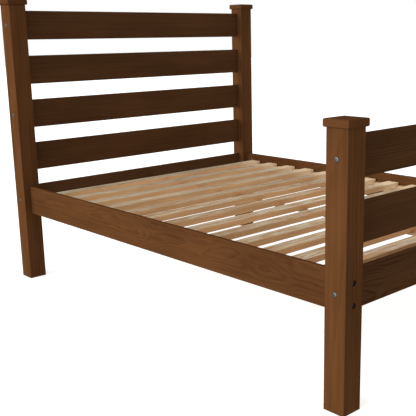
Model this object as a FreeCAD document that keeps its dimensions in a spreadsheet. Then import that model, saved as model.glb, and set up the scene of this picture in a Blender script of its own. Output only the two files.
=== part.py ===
import FreeCAD, Part
import math
import os
import re
import Sketcher
from FreeCAD import Placement, Rotation, Vector

# Bed frame of solid wood for a queen-size mattress, 1524 by 2032 mm.
# X runs across the bed, +Y from the foot to the head, +Z up, and the origin lies on the floor
# under the bed's middle. Left is the -X side. All lengths are in millimetres.
# Round bores and fasteners are many-sided: a bore's flats touch its circle from outside and a
# fastener's corners lie on its circle, so the one always clears the other.

# Driving dimensions, one spreadsheet cell each
SIZES = {
    # The bed over its posts' outer faces, and the height of its lowest boards above the floor
    "bed_width": 1650,
    "bed_length": 2236,
    "floor_gap": 350,
    # Posts, and how far they rise above their top board
    "post_size": 89,
    "post_ease": 1.5,
    "post_rise": 27,
    # Square caps on the posts
    "cap_overhang": 8,
    "cap_thick": 28,
    "cap_ease": 4,
    # Boards of the headboard, the footboard and the sides, all of one stock
    "board_height": 143,
    "board_thick": 19,
    "board_ease": 2.5,
    "board_gap": 80,
    "head_board_count": 5,
    "foot_board_count": 3,
    # Slats, from the drop of their tops below the side rails to the space beyond the end slats
    "slat_count": 13,
    "slat_wide": 68,
    "slat_thick": 25,
    "slat_ease": 1,
    "slat_drop": 38,
    "slat_end_gap": 9,
    "slat_space": 100,
    # Notched ledgers that carry the slats
    "ledger_wide": 30,
    "ledger_tall": 40,
    "ledger_rise": 9,
    "ledger_end_gap": 1,
    "notch_gap": 1,
    # Flat batten under the slats' middles, and the cleats under its ends
    "batten_wide": 40,
    "batten_thick": 10,
    "batten_end_gap": 1,
    "cleat_long": 90,
    "cleat_deep": 30,
    "cleat_tall": 40,
    # Bolts that draw the head and foot boards to the posts, and their cross nuts
    "rail_bolt_size": 6,
    "rail_head_size": 17,
    "rail_head_thick": 2.5,
    "rail_head_ease": 1.5,
    "rail_socket": 4,
    "rail_socket_deep": 1.8,
    "rail_nut_size": 10,
    "rail_nut_setback": 50,
    # Bolts that draw the side rails to the posts, sunk in the posts' end faces
    "side_bolt_size": 8,
    "side_bolt_spread": 78,
    "side_head_size": 13,
    "side_head_thick": 8,
    "side_head_ease": 0.8,
    "side_socket": 6,
    "side_socket_deep": 4,
    "side_nut_size": 12,
    "side_nut_setback": 45,
    "recess_size": 20,
    "recess_deep": 14,
    "washer_size": 18,
    "washer_thick": 1.6,
    # Length of both kinds of cross nut, and of the bolts beyond the nuts' middles
    "nut_long": 14,
    "bolt_tail": 10,
    # Wood dowels
    "dowel_size": 10,
    "dowel_long": 50,
    "dowel_spread": 96,
    "dowel_in_cap": 14,
    # Clearances round bolts, nuts and dowels, and beyond their ends
    "bolt_gap": 0.3,
    "nut_gap": 0.2,
    "dowel_gap": 0.1,
    "end_gap": 1,
    # How far a cut runs past the face that it opens
    "overrun": 5,
    # Most that an eased edge takes of a piece's thickness
    "ease_share": 0.25,
}

# Lengths and places that follow from the driving dimensions
DERIVED = {
    "post_x": "(bed_width - post_size) / 2",
    "post_y": "(bed_length - post_size) / 2",
    "cross_half": "bed_width / 2 - post_size",
    "side_half": "bed_length / 2 - post_size",
    "board_pitch": "board_height + board_gap",
    "rail_z": "floor_gap + board_height / 2",
    "side_face": "post_x - board_thick / 2",
    "end_face": "post_y - board_thick / 2",
    "slat_half": "side_face - slat_end_gap",
    "slat_seat": "floor_gap + board_height - slat_drop - slat_thick",
    "slat_first": "end_face - slat_space - slat_wide / 2",
    "slat_pitch": "2 * slat_first / (slat_count - 1)",
    "ledger_x": "side_face - ledger_wide / 2",
    "ledger_z": "slat_seat + ledger_rise - ledger_tall / 2",
    "batten_z": "slat_seat - batten_thick / 2",
    "cleat_y": "end_face - cleat_deep / 2",
    "cleat_z": "slat_seat - batten_thick - cleat_tall / 2",
    "dowel_bore": "dowel_size + 2 * dowel_gap",
    "dowel_deep": "dowel_long / 2 + end_gap",
    "rail_bolt_bore": "rail_bolt_size + 2 * bolt_gap",
    "side_bolt_bore": "side_bolt_size + 2 * bolt_gap",
    "nut_deep": "(board_thick + nut_long) / 2 + end_gap",
    "rail_bolt_long": "post_size + rail_nut_setback + bolt_tail",
    "side_bolt_seat": "bed_length / 2 - recess_deep + washer_thick",
    "side_bolt_long": "side_bolt_seat - side_half + side_nut_setback + bolt_tail",
}

# How many sides a small round shape, a cross nut, and a bolt's head or its recess have
PLAIN = 8
NUT = 12
FINE = 16
HEXAGON = 6
# Edge directions closer than this count as the same
PARALLEL = 1e-6
SIDES = {"left": -1, "right": 1}
ENDS = {"head": 1, "foot": -1}

doc = FreeCAD.newDocument("BedFrame")
sheet = doc.addObject("Spreadsheet::Sheet", "Sizes")
nodes = []


def fill_sheet():
    """Write each driving dimension into a cell with its name as the alias."""
    for row, (name, size) in enumerate(SIZES.items(), 1):
        sheet.set(f"A{row}", name)
        sheet.set(f"B{row}", str(size))
        sheet.setAlias(f"B{row}", name)
    doc.recompute()


def formula(text):
    """Turn a formula of size names into one of spreadsheet cells."""
    def cell(match):
        name = match.group(0)
        if name in DERIVED:
            return "(" + formula(DERIVED[name]) + ")"
        return "Sizes." + name
    return re.sub(r"\b[a-z]\w+\b(?!\()", cell, text)


def value(text):
    """Work out a formula of size names as a number."""
    return float(sheet.evalExpression(formula(text)))


def bind(thing, prop, text):
    """Bind a property to a formula of size names."""
    thing.setExpression(prop, formula(text))


def place(thing, x="0", y="0", z="0"):
    """Bind a part's place to formulas."""
    bind(thing, "Placement.Base.x", x)
    bind(thing, "Placement.Base.y", y)
    bind(thing, "Placement.Base.z", z)


def new_body(label):
    """Start a body with a label of its own."""
    body = doc.addObject("PartDesign::Body", label)
    body.Label = label
    return body


def origin_part(body, role):
    """Find a plane or an axis of a body's own origin."""
    for feature in body.Origin.OriginFeatures:
        if feature.Role == role:
            return feature
    raise ValueError(f"{body.Label} has no {role}")


def new_sketch(body, name, plane, offset="0"):
    """Start a sketch on an origin plane, moved along the positive axis by an offset."""
    sketch = body.newObject("Sketcher::SketchObject", f"{body.Name}_{name}")
    sketch.AttachmentSupport = (origin_part(body, plane), [""])
    sketch.MapMode = "FlatFace"
    # The sketch normal of the XZ plane points along -Y
    sign = "-" if plane == "XZ_Plane" else ""
    bind(sketch, "AttachmentOffset.Base.z", f"{sign}({offset})")
    return sketch


def pin_point(sketch, geometry, point, u, v):
    """Fix a point of a sketch at the formulas u and v from the sketch's origin."""
    for kind, text in (("DistanceX", u), ("DistanceY", v)):
        index = sketch.addConstraint(Sketcher.Constraint(kind, -1, 1, geometry, point, value(text)))
        bind(sketch, f"Constraints[{index}]", text)


def polygon(sketch, corners):
    """Draw a closed outline through corners given as pairs of formulas."""
    spots = [Vector(value(u), value(v), 0) for u, v in corners]
    count = len(spots)
    first = sketch.GeometryCount
    for index, spot in enumerate(spots):
        sketch.addGeometry(Part.LineSegment(spot, spots[(index + 1) % count]), False)
    for index, (u, v) in enumerate(corners):
        line = first + index
        before = first + (index - 1) % count
        sketch.addConstraint(Sketcher.Constraint("Coincident", before, 2, line, 1))
        pin_point(sketch, line, 1, u, v)


def rectangle(sketch, wide, tall, low="0"):
    """Draw a rectangle centred on the sketch's origin, or raised to stand on a low line."""
    bottom = f"{low} - ({tall}) / 2" if low == "0" else low
    right = f"({wide}) / 2"
    left = f"-({wide}) / 2"
    top = f"{bottom} + {tall}"
    polygon(sketch, [(left, bottom), (right, bottom), (right, top), (left, top)])


def round_outlines(sketch, spots, diameter, sides):
    """Draw many-sided outlines whose flats touch equal circles about centres given as formulas."""
    step = math.pi / sides
    for u, v in spots:
        corners = []
        for index in range(sides):
            turn = (2 * index + 1) * step
            across = math.cos(turn) / math.cos(step) / 2
            up = math.sin(turn) / math.cos(step) / 2
            corners.append((f"{u} + ({across:.9f}) * ({diameter})", f"{v} + ({up:.9f}) * ({diameter})"))
        polygon(sketch, corners)


def pad(body, name, sketch, length, symmetric=False, flip=False):
    """Pad a sketch by a length, to one side or both."""
    feature = body.newObject("PartDesign::Pad", f"{body.Name}_{name}")
    feature.Profile = sketch
    feature.SideType = "Symmetric" if symmetric else "One side"
    feature.Reversed = flip
    bind(feature, "Length", length)
    doc.recompute()
    return feature


def cut_through(body, name, sketch):
    """Cut a sketch right through both ways."""
    feature = body.newObject("PartDesign::Pocket", f"{body.Name}_{name}")
    feature.Profile = sketch
    feature.Type = "ThroughAll"
    feature.SideType = "Symmetric"
    return feature


def through_bores(body, name, plane, spots, diameter, sides):
    """Cut bores right through a body, both ways from an origin plane."""
    sketch = new_sketch(body, f"{name}_outlines", plane)
    round_outlines(sketch, spots, diameter, sides)
    return cut_through(body, name, sketch)


def blind_bores(body, name, plane, spots, diameter, sides, side, face, depth):
    """Cut bores to a depth from the face at a distance to one side of an origin plane."""
    sketch = new_sketch(body, f"{name}_outlines", plane, f"({side}) * ({face})")
    round_outlines(sketch, spots, diameter, sides)
    feature = body.newObject("PartDesign::Pocket", f"{body.Name}_{name}")
    feature.Profile = sketch
    # The normal of the XZ plane points along -Y
    feature.Reversed = (side < 0) != (plane == "XZ_Plane")
    bind(feature, "Length", depth)
    return feature


def prism(body, name, kind, sides, radius, start, length):
    """Add or cut a many-sided rod along Z about the body's axis, its flats square to the axes."""
    feature = body.newObject(f"PartDesign::{kind}Prism", f"{body.Name}_{name}")
    feature.AttachmentSupport = (origin_part(body, "XY_Plane"), [""])
    feature.MapMode = "FlatFace"
    feature.Polygon = sides
    half_step = Rotation(Vector(0, 0, 1), 180 / sides)
    feature.AttachmentOffset = Placement(Vector(), half_step)
    bind(feature, "Circumradius", radius)
    bind(feature, "Height", length)
    bind(feature, "AttachmentOffset.Base.z", start)
    return feature


def mirror(body, name, features, plane):
    """Repeat features on the other side of an origin plane."""
    feature = body.newObject("PartDesign::Mirrored", f"{body.Name}_{name}")
    feature.Originals = features
    feature.MirrorPlane = (origin_part(body, plane), [""])
    body.Tip = feature
    return feature


def repeat(body, name, features, axis, length, count):
    """Repeat features along an origin axis, the given count in all over a length."""
    feature = body.newObject("PartDesign::LinearPattern", f"{body.Name}_{name}")
    feature.Originals = features
    feature.Direction = (origin_part(body, axis), [""])
    bind(feature, "Length", length)
    bind(feature, "Occurrences", count)
    body.Tip = feature
    return feature


def edges_along(feature, direction):
    """Name the straight edges of a feature that run along a direction."""
    names = []
    for index, edge in enumerate(feature.Shape.Edges, 1):
        if len(edge.Vertexes) == 2:
            run = edge.Vertexes[1].Point - edge.Vertexes[0].Point
            if run.normalize().cross(direction).Length < PARALLEL:
                names.append(f"Edge{index}")
    return names


def ease(body, feature, edges, size):
    """Take off edges of a feature at 45 degrees."""
    chamfer = body.newObject("PartDesign::Chamfer", f"{body.Name}_ease")
    chamfer.Base = (feature, edges)
    bind(chamfer, "Size", size)
    doc.recompute()
    return chamfer


def add_node(thing):
    """Keep a finished sub-part for writing."""
    nodes.append(thing)


def level_z(index):
    """Height of the middle of a board, counted from the lowest one."""
    return f"rail_z + {index} * board_pitch"


def post_height(count):
    """Height of a post that carries a count of boards."""
    return f"floor_gap + {count} * board_height + ({count} - 1) * board_gap + post_rise"


def board_count(end):
    """Name of the cell that counts the boards at one end of the bed."""
    return f"{end}_board_count"


def bolted_levels(end):
    """Boards that are bolted as well as dowelled: every other one from the lowest."""
    return range(0, SIZES[board_count(end)], 2)


def plus_and_minus(middle, spread):
    """The two heights half a spread above and below a middle."""
    return [f"{middle} + {spread} / 2", f"{middle} - {spread} / 2"]


# Posts and caps

def post(end, side):
    """A square post with bores for its boards' bolts and dowels and for its side rail's."""
    body = new_body(f"post_{end}_{side}")
    x_sign = SIDES[side]
    y_sign = ENDS[end]
    levels = range(SIZES[board_count(end)])
    height = post_height(board_count(end))

    outline = new_sketch(body, "outline", "XY_Plane")
    rectangle(outline, "post_size", "post_size")
    blank = pad(body, "blank", outline, height)
    ease(body, blank, edges_along(blank, Vector(0, 0, 1)), "min(post_ease; ease_share * post_size)")
    face = "post_size / 2"

    # Through bores for the bolts into the cross boards, from one side face to the other
    spots = [("0", level_z(index)) for index in bolted_levels(end)]
    through_bores(body, "bolt_bores", "YZ_Plane", spots, "rail_bolt_bore", PLAIN)

    # Dowel bores in the inner side face, two to each board
    heights = [z for index in levels for z in plus_and_minus(level_z(index), "dowel_spread")]
    spots = [("0", z) for z in heights]
    blind_bores(body, "dowel_bores", "YZ_Plane", spots, "dowel_bore", PLAIN, -x_sign, face, "dowel_deep")

    # Bores for the side rail's two bolts, sunk in recesses in the outer end face
    spots = [("0", z) for z in plus_and_minus("rail_z", "side_bolt_spread")]
    through_bores(body, "side_bolt_bores", "XZ_Plane", spots, "side_bolt_bore", PLAIN)
    blind_bores(body, "recesses", "XZ_Plane", spots, "recess_size", FINE, y_sign, face, "recess_deep")

    # One dowel bore for the side rail in the inner end face, and one on top for the cap
    spots = [("0", "rail_z")]
    blind_bores(body, "side_dowel", "XZ_Plane", spots, "dowel_bore", PLAIN, -y_sign, face, "dowel_deep")
    depth = "dowel_long - dowel_in_cap + end_gap"
    blind_bores(body, "cap_dowel", "XY_Plane", [("0", "0")], "dowel_bore", PLAIN, 1, height, depth)

    place(body, f"{x_sign} * post_x", f"{y_sign} * post_y")
    add_node(body)


def cap(end, side):
    """A square cap that overhangs its post all round, its upper and lower edges eased."""
    body = new_body(f"cap_{end}_{side}")
    outline = new_sketch(body, "outline", "XY_Plane")
    rectangle(outline, "post_size + 2 * cap_overhang", "post_size + 2 * cap_overhang")
    blank = pad(body, "blank", outline, "cap_thick")
    edges = edges_along(blank, Vector(1, 0, 0)) + edges_along(blank, Vector(0, 1, 0))
    ease(body, blank, edges, "min(cap_ease; ease_share * cap_thick)")

    depth = "dowel_in_cap + end_gap"
    blind_bores(body, "dowel_bore", "XY_Plane", [("0", "0")], "dowel_bore", PLAIN, -1, "0", depth)

    height = post_height(board_count(end))
    place(body, f"{SIDES[side]} * post_x", f"{ENDS[end]} * post_y", height)
    add_node(body)


# Boards

def board_blank(body, plane, direction, half):
    """A board on edge with its four long edges eased."""
    outline = new_sketch(body, "outline", plane)
    rectangle(outline, "board_thick", "board_height")
    blank = pad(body, "blank", outline, f"2 * ({half})", symmetric=True)
    ease(body, blank, edges_along(blank, direction), "min(board_ease; ease_share * board_thick)")


def cross_board(end, index):
    """A board between two posts, dowelled at its ends, and bolted where its level is."""
    count = SIZES[board_count(end)]
    body = new_body(f"{end}_rail_{count - index}")
    board_blank(body, "YZ_Plane", Vector(1, 0, 0), "cross_half")

    spots = [("0", z) for z in plus_and_minus("0", "dowel_spread")]
    features = [blind_bores(body, "dowel_bores", "YZ_Plane", spots, "dowel_bore", PLAIN,
                            1, "cross_half", "dowel_deep")]
    if index in bolted_levels(end):
        depth = "rail_nut_setback + bolt_tail + end_gap"
        features.append(blind_bores(body, "bolt_bore", "YZ_Plane", [("0", "0")], "rail_bolt_bore",
                                    PLAIN, 1, "cross_half", depth))
        spots = [("cross_half - rail_nut_setback", "0")]
        features.append(blind_bores(body, "nut_bore", "XZ_Plane", spots, "rail_nut_size + 2 * nut_gap",
                                    NUT, 1, "board_thick / 2", "nut_deep"))
    mirror(body, "both_ends", features, "YZ_Plane")

    place(body, "0", f"{ENDS[end]} * post_y", level_z(index))
    add_node(body)


def side_rail(side):
    """A side board, bolted and dowelled to a head post and a foot post."""
    body = new_body(f"side_rail_{side}")
    x_sign = SIDES[side]
    board_blank(body, "XZ_Plane", Vector(0, 1, 0), "side_half")

    features = [blind_bores(body, "dowel_bore", "XZ_Plane", [("0", "0")], "dowel_bore", PLAIN,
                            1, "side_half", "dowel_deep")]
    heights = plus_and_minus("0", "side_bolt_spread")
    spots = [("0", z) for z in heights]
    depth = "side_nut_setback + bolt_tail + end_gap"
    features.append(blind_bores(body, "bolt_bores", "XZ_Plane", spots, "side_bolt_bore", PLAIN,
                                1, "side_half", depth))
    spots = [("side_half - side_nut_setback", z) for z in heights]
    features.append(blind_bores(body, "nut_bores", "YZ_Plane", spots, "side_nut_size + 2 * nut_gap",
                                NUT, -x_sign, "board_thick / 2", "nut_deep"))
    mirror(body, "both_ends", features, "XZ_Plane")

    place(body, f"{x_sign} * post_x", "0", "rail_z")
    add_node(body)


# Slats and what carries them

def ledger(side):
    """A strip along a side rail with a notch for each slat's end."""
    body = new_body(f"ledger_{side}")
    outline = new_sketch(body, "outline", "XZ_Plane")
    rectangle(outline, "ledger_wide", "ledger_tall")
    pad(body, "blank", outline, "2 * (side_half - ledger_end_gap)", symmetric=True)

    notch = new_sketch(body, "notch", "YZ_Plane")
    bind(notch, "AttachmentOffset.Base.x", "-slat_first")
    floor = "ledger_tall / 2 - ledger_rise"
    rectangle(notch, "slat_wide + 2 * notch_gap", "ledger_rise + overrun", floor)
    cut = cut_through(body, "notch_cut", notch)
    repeat(body, "notches", [cut], "Y_Axis", "2 * slat_first", "slat_count")

    place(body, f"{SIDES[side]} * ledger_x", "0", "ledger_z")
    add_node(body)


def slat(number):
    """A slat across the bed, its ends in the ledgers' notches."""
    body = new_body(f"slat_{number + 1:02d}")
    outline = new_sketch(body, "outline", "YZ_Plane")
    rectangle(outline, "slat_wide", "slat_thick")
    blank = pad(body, "blank", outline, "2 * (slat_half)", symmetric=True)
    ease(body, blank, edges_along(blank, Vector(1, 0, 0)), "min(slat_ease; ease_share * slat_thick)")

    place(body, "0", f"slat_first - {number} * slat_pitch", "slat_seat + slat_thick / 2")
    add_node(body)


def centre_batten():
    """A flat strip along the bed's middle that ties the slats together from below."""
    body = new_body("centre_batten")
    outline = new_sketch(body, "outline", "XZ_Plane")
    rectangle(outline, "batten_wide", "batten_thick")
    blank = pad(body, "blank", outline, "2 * (end_face - batten_end_gap)", symmetric=True)
    ease(body, blank, edges_along(blank, Vector(0, 1, 0)), "min(slat_ease; ease_share * batten_thick)")

    place(body, "0", "0", "batten_z")
    add_node(body)


def batten_cleat(end):
    """A block on a lowest board that carries one end of the batten."""
    body = new_body(f"batten_cleat_{end}")
    outline = new_sketch(body, "outline", "XY_Plane")
    rectangle(outline, "cleat_long", "cleat_deep")
    pad(body, "blank", outline, "cleat_tall", symmetric=True)

    place(body, "0", f"{ENDS[end]} * cleat_y", "cleat_z")
    add_node(body)


# Fasteners: one of each kind is modelled, and groups place copies of it

def bolt(label, kind, length):
    """A socket-head bolt, its seat at z = 0, its head towards -Z and its shank along +Z."""
    body = new_body(label)
    head = prism(body, "head", "Additive", FINE, f"{kind}_head_size / 2",
                 f"-{kind}_head_thick", f"{kind}_head_thick")
    doc.recompute()
    rim = [f"Edge{index}" for index, edge in enumerate(head.Shape.Edges, 1)
           if edge.BoundBox.ZMax < head.Shape.BoundBox.Center.z]
    ease(body, head, rim, f"{kind}_head_ease")
    prism(body, "shank", "Additive", PLAIN, f"{kind}_bolt_size / 2", "0", length)
    prism(body, "socket", "Subtractive", HEXAGON, f"{kind}_socket / sqrt(3)",
          f"-{kind}_head_thick - overrun", f"{kind}_socket_deep + overrun")
    return body


def cross_nut(label, kind):
    """A round nut along Z with the bolt's hole across its middle along X."""
    body = new_body(label)
    prism(body, "rod", "Additive", NUT, f"{kind}_nut_size / 2", "-nut_long / 2", "nut_long")
    through_bores(body, "hole", "YZ_Plane", [("0", "0")], f"{kind}_bolt_size", PLAIN)
    return body


def washer():
    """A flat washer from z = 0 to its thickness."""
    body = new_body("washer_stock")
    prism(body, "plate", "Additive", FINE, "washer_size / 2", "0", "washer_thick")
    through_bores(body, "hole", "XY_Plane", [("0", "0")], "side_bolt_bore", PLAIN)
    return body


def dowel():
    """A wood dowel along Z about its middle."""
    body = new_body("dowel_stock")
    prism(body, "rod", "Additive", PLAIN, "dowel_size / 2", "-dowel_long / 2", "dowel_long")
    return body


def group(label, master, turn_and_place):
    """One node of equal fasteners: each is a turn and three formulas for its place."""
    links = []
    for index, (turn, x, y, z) in enumerate(turn_and_place, 1):
        link = doc.addObject("App::Link", f"{label}_{index:02d}")
        link.LinkedObject = master
        link.Placement = Placement(Vector(), turn)
        place(link, x, y, z)
        links.append(link)
    compound = doc.addObject("Part::Compound", label)
    compound.Label = label
    compound.Links = links
    add_node(compound)


def along_x(sign):
    """Turn +Z to +X or -X."""
    return Rotation(Vector(0, 1, 0), 90 * sign)


def along_y(sign):
    """Turn +Z to +Y or -Y."""
    return Rotation(Vector(1, 0, 0), -90 * sign)


UPWARD = Rotation()
# Turns X to Y, Y to Z and Z to X
CYCLE = Rotation(Vector(1, 1, 1), 120)


def rail_fasteners():
    """Bolts, cross nuts and dowels between the cross boards and the posts."""
    bolts = []
    nuts = []
    dowels = []
    for end, y_sign in ENDS.items():
        y = f"{y_sign} * post_y"
        for x_sign in SIDES.values():
            for index in bolted_levels(end):
                z = level_z(index)
                bolts.append((along_x(-x_sign), f"{x_sign} * bed_width / 2", y, z))
                nuts.append((along_y(1), f"{x_sign} * (cross_half - rail_nut_setback)", y, z))
            for index in range(SIZES[board_count(end)]):
                for z in plus_and_minus(level_z(index), "dowel_spread"):
                    dowels.append((along_x(1), f"{x_sign} * cross_half", y, z))
    group("rail_bolts", bolt("rail_bolt_stock", "rail", "rail_bolt_long"), bolts)
    group("rail_barrel_nuts", cross_nut("rail_nut_stock", "rail"), nuts)
    return dowels


def side_fasteners():
    """Sunk bolts, washers, cross nuts and dowels between the side rails and the posts."""
    bolts = []
    nuts = []
    dowels = []
    for y_sign in ENDS.values():
        for x_sign in SIDES.values():
            x = f"{x_sign} * post_x"
            for z in plus_and_minus("rail_z", "side_bolt_spread"):
                bolts.append((along_y(-y_sign), x, f"{y_sign} * side_bolt_seat", z))
                nuts.append((CYCLE, x, f"{y_sign} * (side_half - side_nut_setback)", z))
            dowels.append((along_y(1), x, f"{y_sign} * side_half", "rail_z"))
    group("side_rail_bolts", bolt("side_bolt_stock", "side", "side_bolt_long"), bolts)
    group("side_rail_washers", washer(), bolts)
    group("side_rail_barrel_nuts", cross_nut("side_nut_stock", "side"), nuts)
    return dowels


def fasteners():
    """Every bolt, nut, washer and dowel, the dowels all of one stock."""
    rails = rail_fasteners()
    sides = side_fasteners()
    caps = []
    for end, y_sign in ENDS.items():
        z = f"{post_height(board_count(end))} + dowel_in_cap - dowel_long / 2"
        for x_sign in SIDES.values():
            caps.append((UPWARD, f"{x_sign} * post_x", f"{y_sign} * post_y", z))
    stock = dowel()
    group("rail_dowels", stock, rails)
    group("side_rail_dowels", stock, sides)
    group("cap_dowels", stock, caps)


def build():
    """Make every sub-part of the bed."""
    fill_sheet()
    for end in ENDS:
        for side in SIDES:
            post(end, side)
            cap(end, side)
        for index in range(SIZES[board_count(end)]):
            cross_board(end, index)
        batten_cleat(end)
    for side in SIDES:
        side_rail(side)
        ledger(side)
    for number in range(SIZES["slat_count"]):
        slat(number)
    centre_batten()
    fasteners()
    doc.recompute()


def check():
    """Stop at a failed object, an empty or broken shape, or a cut that removes nothing."""
    for thing in doc.Objects:
        if "Invalid" in thing.State or "Error" in thing.State:
            raise RuntimeError(f"{thing.Label} failed: {thing.State}")
        if thing.TypeId in ("PartDesign::Pocket", "PartDesign::SubtractivePrism"):
            if thing.Shape.Volume >= thing.BaseFeature.Shape.Volume:
                raise RuntimeError(f"{thing.Label} cuts nothing")
    for node in nodes:
        if node.Shape.isNull() or not node.Shape.isValid():
            raise RuntimeError(f"{node.Label} has no valid shape")


def write():
    """Write each sub-part to a file of its own."""
    os.makedirs("parts", exist_ok=True)
    for node in nodes:
        node.Shape.exportStep(f"parts/{node.Label}.step")
        print(f"{node.Label}: {len(node.Shape.Solids)} solid, {node.Shape.Volume:.0f} mm3")


build()
check()
write()
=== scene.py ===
"""Looks of a solid wood bed frame: stained walnut, bare pine slats, and their hardware."""

import math
import random

import bmesh
import bpy
from bpy.props import FloatProperty, FloatVectorProperty, IntProperty, PointerProperty
from mathutils import Matrix, Vector


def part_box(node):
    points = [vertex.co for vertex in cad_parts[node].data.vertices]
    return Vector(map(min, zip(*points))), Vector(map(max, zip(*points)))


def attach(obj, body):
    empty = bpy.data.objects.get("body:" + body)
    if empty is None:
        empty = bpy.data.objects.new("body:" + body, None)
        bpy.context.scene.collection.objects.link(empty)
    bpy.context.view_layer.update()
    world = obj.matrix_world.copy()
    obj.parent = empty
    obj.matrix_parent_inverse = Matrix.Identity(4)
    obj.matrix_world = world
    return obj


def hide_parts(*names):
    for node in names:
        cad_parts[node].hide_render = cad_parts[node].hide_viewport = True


bl_info = {
    "name": "Bed Frame",
    "version": (1, 0, 0),
    "blender": (4, 5, 0),
    "location": "View3D > Sidebar > Bed Frame",
    "description": "Finishes and hardware of a solid wood bed frame with pine slats",
    "category": "Object",
}

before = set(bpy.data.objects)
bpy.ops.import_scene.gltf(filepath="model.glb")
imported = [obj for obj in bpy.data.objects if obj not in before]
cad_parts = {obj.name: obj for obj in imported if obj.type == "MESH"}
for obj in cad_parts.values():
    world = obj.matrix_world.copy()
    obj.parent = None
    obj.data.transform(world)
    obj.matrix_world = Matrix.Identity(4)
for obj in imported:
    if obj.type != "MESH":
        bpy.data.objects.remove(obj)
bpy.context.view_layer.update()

X = Vector((1, 0, 0))
Y = Vector((0, 1, 0))
Z = Vector((0, 0, 1))

ENDS = ("head", "foot")
SIDES = ("left", "right")
POSTS = [f"post_{end}_{side}" for end in ENDS for side in SIDES]
CAPS = [f"cap_{end}_{side}" for end in ENDS for side in SIDES]
HEAD_BOARDS = [f"head_rail_{number}" for number in range(1, 6)]
FOOT_BOARDS = [f"foot_rail_{number}" for number in range(1, 4)]
SIDE_BOARDS = [f"side_rail_{side}" for side in SIDES]
SLATS = [f"slat_{number:02d}" for number in range(1, 14)]
LEDGERS = [f"ledger_{side}" for side in SIDES]
BATTEN = ["centre_batten"]
CLEATS = [f"batten_cleat_{end}" for end in ENDS]

# Lengths are in metres, apart from the sensor's width

# Noise in wood: its size along, across and through, its detail and roughness, and the values of
# it that count as 0 and 1
WALNUT_STREAK = ((0.5, 0.010, 0.010), 3.0, 0.6, 0.3, 0.72)
WALNUT_STAIN = ((0.45, 0.11, 0.11), 2.0, 0.5, 0.28, 0.72)
WALNUT_PORE = ((0.022, 0.0009, 0.0009), 2.0, 0.6, 0.56, 0.74)
PINE_STREAK = ((0.26, 0.014, 0.014), 4.0, 0.62, 0.36, 0.66)
PINE_CLOUD = ((0.4, 0.05, 0.05), 2.0, 0.5, 0.3, 0.7)
PINE_FIBRE = ((0.03, 0.0008, 0.0008), 2.0, 0.6, 0.3, 0.75)
PINE_FLECK = ((0.10, 0.013, 0.013), 3.0, 0.65, 0.46, 0.6)

# Where in a ring its growth line starts, is darkest, and begins to fall off
WALNUT_LINE = (0.35, 0.93, 0.955)
PINE_LINE = (0.3, 0.9, 0.95)
# Waves in the rings: their detail, its roughness, and their fineness for each metre between rings
RING_DETAIL = 2.6
RING_ROUGHNESS = 0.52
RING_FINENESS = 20.0

# Depths under a piece's faces over which a trait, or a painted shade, comes or goes
END_GRAIN = (0.0002, 0.0009)
SAWN_SIDE = (0.0012, 0.0024)
# Painted shade: the flat faces through a piece are painted darker over this depth
SHADED_FLAT_FACE = (0.0012, 0.003)
# Painted shade: bore and recess walls are painted dark, coming in between these two depths
BORE_SHADE_DEPTH = (0.0014, 0.003)
WORN_ARRIS = 0.0045
# Painted light: how far from a slat's right end its pale painted light starts and is brightest
LIT_END_REACH = (0.20, 0.03)

# Ranges of a trait from its least to its most, and how much of a trait shows
WALNUT_LINE_SHOWS = (0.4, 0.9)
WALNUT_STAIN_SHADE = (0.87, 1.13)
WALNUT_STREAK_SHADE = 0.08
WALNUT_PORE_SHOWS = 0.5
WALNUT_WEAR_SHOWS = (0.25, 0.55)
WALNUT_END_SHOWS = 0.2
PINE_LINE_SHOWS = 0.45
PINE_FLECK_SHOWS = 0.5
PINE_STREAK_SHOWS = (0.5, 0.95)
PINE_CLOUD_SHADE = 0.22
PINE_LEAST_SHADE = 0.84
PINE_CHANCE_SHADE = 0.09
PINE_FIBRE_SHADE = (1.04, 0.96)
PINE_SIDE_SHOWS = 0.85
PINE_END_SHOWS = 0.35

# What pores, streaks and fibres add to the roughness, the relief, and the sheen of the wood
WALNUT_PORE_ROUGHNESS = 0.2
WALNUT_STREAK_ROUGHNESS = 0.08
PINE_FIBRE_ROUGHNESS = 0.12
WALNUT_LINE_HEIGHT = -0.25
PINE_LINE_HEIGHT = 0.5
WALNUT_RELIEF = 0.35
PINE_RELIEF = 0.3
WOOD_RELIEF_DEPTH = 0.0003
WALNUT_SHEEN = 0.001
PINE_SHEEN = 0.04

# Metal: how much finer its scratches are than its stains, the values of stain noise that count
# as 0 and 1, and what stains and scratches change
SCRATCH_FINENESS = 9
METAL_STAIN = (0.3, 0.7)
METAL_SHADE = (0.82, 1.12)
METAL_ROUGHNESS = (-0.08, 0.14)
METAL_RELIEF = 0.2
METAL_RELIEF_DEPTH = 0.0001

# Caps: the rounding of their upper and lower edges and of their upright corners
CAP_ROUNDING = 0.005
CAP_CORNER = 0.0008
# Edges at an angle past this stay sharp
SHARP_ANGLE = math.radians(32)
# Distances under these count as none
SAME_SPOT = 1e-6
SAME_DIAGONAL = 1e-5

# Bolts: the head with its crown and rim, the shank, and the hexagon socket
RAIL_BOLT = {"head_radius": 0.0085, "head": 0.0025, "crown": 0.0009, "rim": 0.0009,
             "shank_radius": 0.003, "shank": 0.1485, "socket": 0.004, "socket_deep": 0.0016}
SIDE_BOLT = {"head_radius": 0.0065, "head": 0.008, "crown": 0.0002, "rim": 0.0007,
             "shank_radius": 0.004, "shank": 0.1306, "socket": 0.006, "socket_deep": 0.004}
# The slopes at the tip of a bolt's shank and on the seat's edge of its head
BOLT_TIP = 0.0008
HEAD_EASE = 0.0003
# The round mouth of a socket stands this far outside its hexagon's corners, and this far above
SOCKET_MARGIN = 0.0004
SOCKET_STEP = 0.0003
HEXAGON = 6
# Steps over a head's rim, and again over its crown
ROUND_STEPS = 5

# Washers: the radii of the bore and of the rim, the thickness, and the slopes on the rim's edges
WASHER_BORE = 0.0044
WASHER_RADIUS = 0.009
WASHER_THICK = 0.0016
WASHER_EASE = 0.0003

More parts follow.
